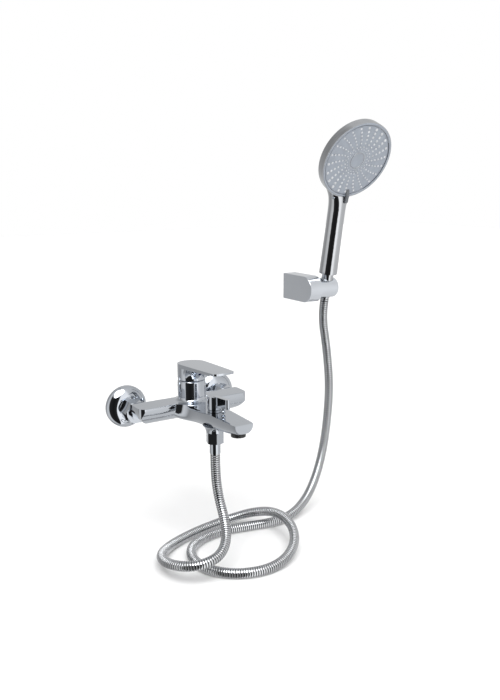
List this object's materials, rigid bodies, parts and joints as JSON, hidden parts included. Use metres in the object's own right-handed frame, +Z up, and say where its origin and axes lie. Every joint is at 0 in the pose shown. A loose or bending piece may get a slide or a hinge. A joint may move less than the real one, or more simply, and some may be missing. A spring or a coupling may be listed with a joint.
{
  "type": "wall mounted bath mixer with hand shower",
  "caption": "Single-lever wall bath mixer with spout, diverter knob, flexible metal shower hose and a round hand shower in a swivel wall bracket.",
  "frame": {"origin": "midway between the two water inlets, on the wall plane", "axes": "+X right along the wall, +Y into the wall, +Z up; the mixer stands out towards -Y"},
  "size_m": [0.42, 0.2496, 0.6112],
  "materials": {
    "chrome": "polished chrome plate on brass",
    "satin_chrome": "satin chrome",
    "chromed_plastic": "polished chrome plate on plastic",
    "hose_steel": "wound double-lock strip, polished",
    "grey_plastic": "blue-grey, fine matte",
    "dark_grey_plastic": "dark grey, satin",
    "pale_silicone": "pale translucent silicone",
    "brass": "machined",
    "steel": "machined",
    "ceramic": "lapped alumina, stated as gloss plastic",
    "white_plastic": "moulded",
    "black_rubber": "seal",
    "dark_plastic": "aerator cage",
    "indicator": "red and blue dot"
  },
  "bodies": {
    "mixer": {"mixer_body": "chrome", "wall_union_left": "chrome", "wall_union_right": "chrome", "escutcheon_left": "chrome", "escutcheon_right": "chrome", "union_nut_left": "chrome", "union_nut_right": "chrome", "union_washer_left": "black_rubber", "union_washer_right": "black_rubber", "cartridge_shell": "white_plastic", "cartridge_gasket": "black_rubber", "cartridge_disc_fixed": "ceramic", "cartridge_nut": "brass", "trim_ring": "chrome", "diverter_bonnet": "chrome", "diverter_disc_fixed": "ceramic", "outlet_nipple": "brass", "check_valve_body": "white_plastic", "outlet_washer": "black_rubber", "hose_nut": "chrome", "hose_ferrule": "chrome", "hose_tube": "hose_steel", "aerator_washer": "black_rubber", "aerator_housing": "dark_plastic", "aerator_insert": "white_plastic", "bracket_body": "satin_chrome", "bracket_base": "steel", "bracket_grub_screw": "steel"},
    "lever_turret": {"cartridge_carrier": "white_plastic"},
    "lever": {"lever_handle": "chrome", "cartridge_stem": "steel", "lever_grub_screw": "steel", "lever_indicator": "indicator"},
    "moving_disc": {"cartridge_disc_moving": "ceramic"},
    "diverter": {"diverter_knob": "chrome", "diverter_spindle": "brass", "diverter_disc_moving": "ceramic", "diverter_grub_screw": "steel"},
    "check_valve": {"check_valve_poppet": "white_plastic"},
    "holder": {"holder_barrel": "satin_chrome", "holder_pivot_screw": "steel", "hose_top_run": "hose_steel"},
    "hose_end": {"hose_cone_nut": "chromed_plastic", "hose_end_ferrule": "chromed_plastic", "hose_cone_washer": "black_rubber"},
    "handset": {"handset_shell": "chromed_plastic", "handset_water_tube": "white_plastic", "head_trim_ring": "chromed_plastic", "spray_chamber": "white_plastic"},
    "spray_face": {"face_plate": "grey_plastic", "nozzle_mat": "pale_silicone", "face_cap": "grey_plastic", "selector_disc": "grey_plastic", "selector_tab": "dark_grey_plastic"}
  },
  "joints": [
    {"name": "lever_swivel", "type": "hinge", "parent": "mixer", "child": "lever_turret", "pos_m": [0, -0.069, 0.044], "axis": [0, 0, 1], "range_deg": [-45, 45]},
    {"name": "lever_tilt", "type": "hinge", "parent": "lever_turret", "child": "lever", "pos_m": [0, -0.069, 0.044], "axis": [-1, 0, 0], "range_deg": [0, 20]},
    {"name": "disc_slide", "type": "slide", "parent": "lever_turret", "child": "moving_disc", "axis": [0, -1, 0], "range_m": [0, 0.0086]},
    {"name": "diverter_turn", "type": "hinge", "parent": "mixer", "child": "diverter", "pos_m": [0, -0.135, 0.03], "axis": [0, 0, 1], "range_deg": [0, 90]},
    {"name": "check_valve_open", "type": "slide", "parent": "mixer", "child": "check_valve", "axis": [0, 0, -1], "range_m": [0, 0.0025], "stiffness_N_per_m": 60, "springref_m": -0.001},
    {"name": "holder_swivel", "type": "hinge", "parent": "mixer", "child": "holder", "pos_m": [0.254, -0.054, 0.1575], "axis": [1, 0, 0], "range_deg": [-20, 25]},
    {"name": "handset_lift", "type": "slide", "parent": "holder", "child": "hose_end", "axis": [0, -0.1736, 0.9848], "range_m": [0, 0.034]},
    {"name": "handset_twist", "type": "hinge", "parent": "hose_end", "child": "handset", "pos_m": [0.254, -0.054, 0.1575], "axis": [0, -0.1736, 0.9848], "range_deg": [-90, 90]},
    {"name": "spray_select", "type": "hinge", "parent": "handset", "child": "spray_face", "pos_m": [0.254, -0.12099, 0.35314], "axis": [0, -0.8788, -0.4772], "range_deg": [-45, 45]}
  ],
  "couplings": [
    {"joint": "disc_slide", "follows": "lever_tilt", "m_per_rad": 0.0246}
  ]
}
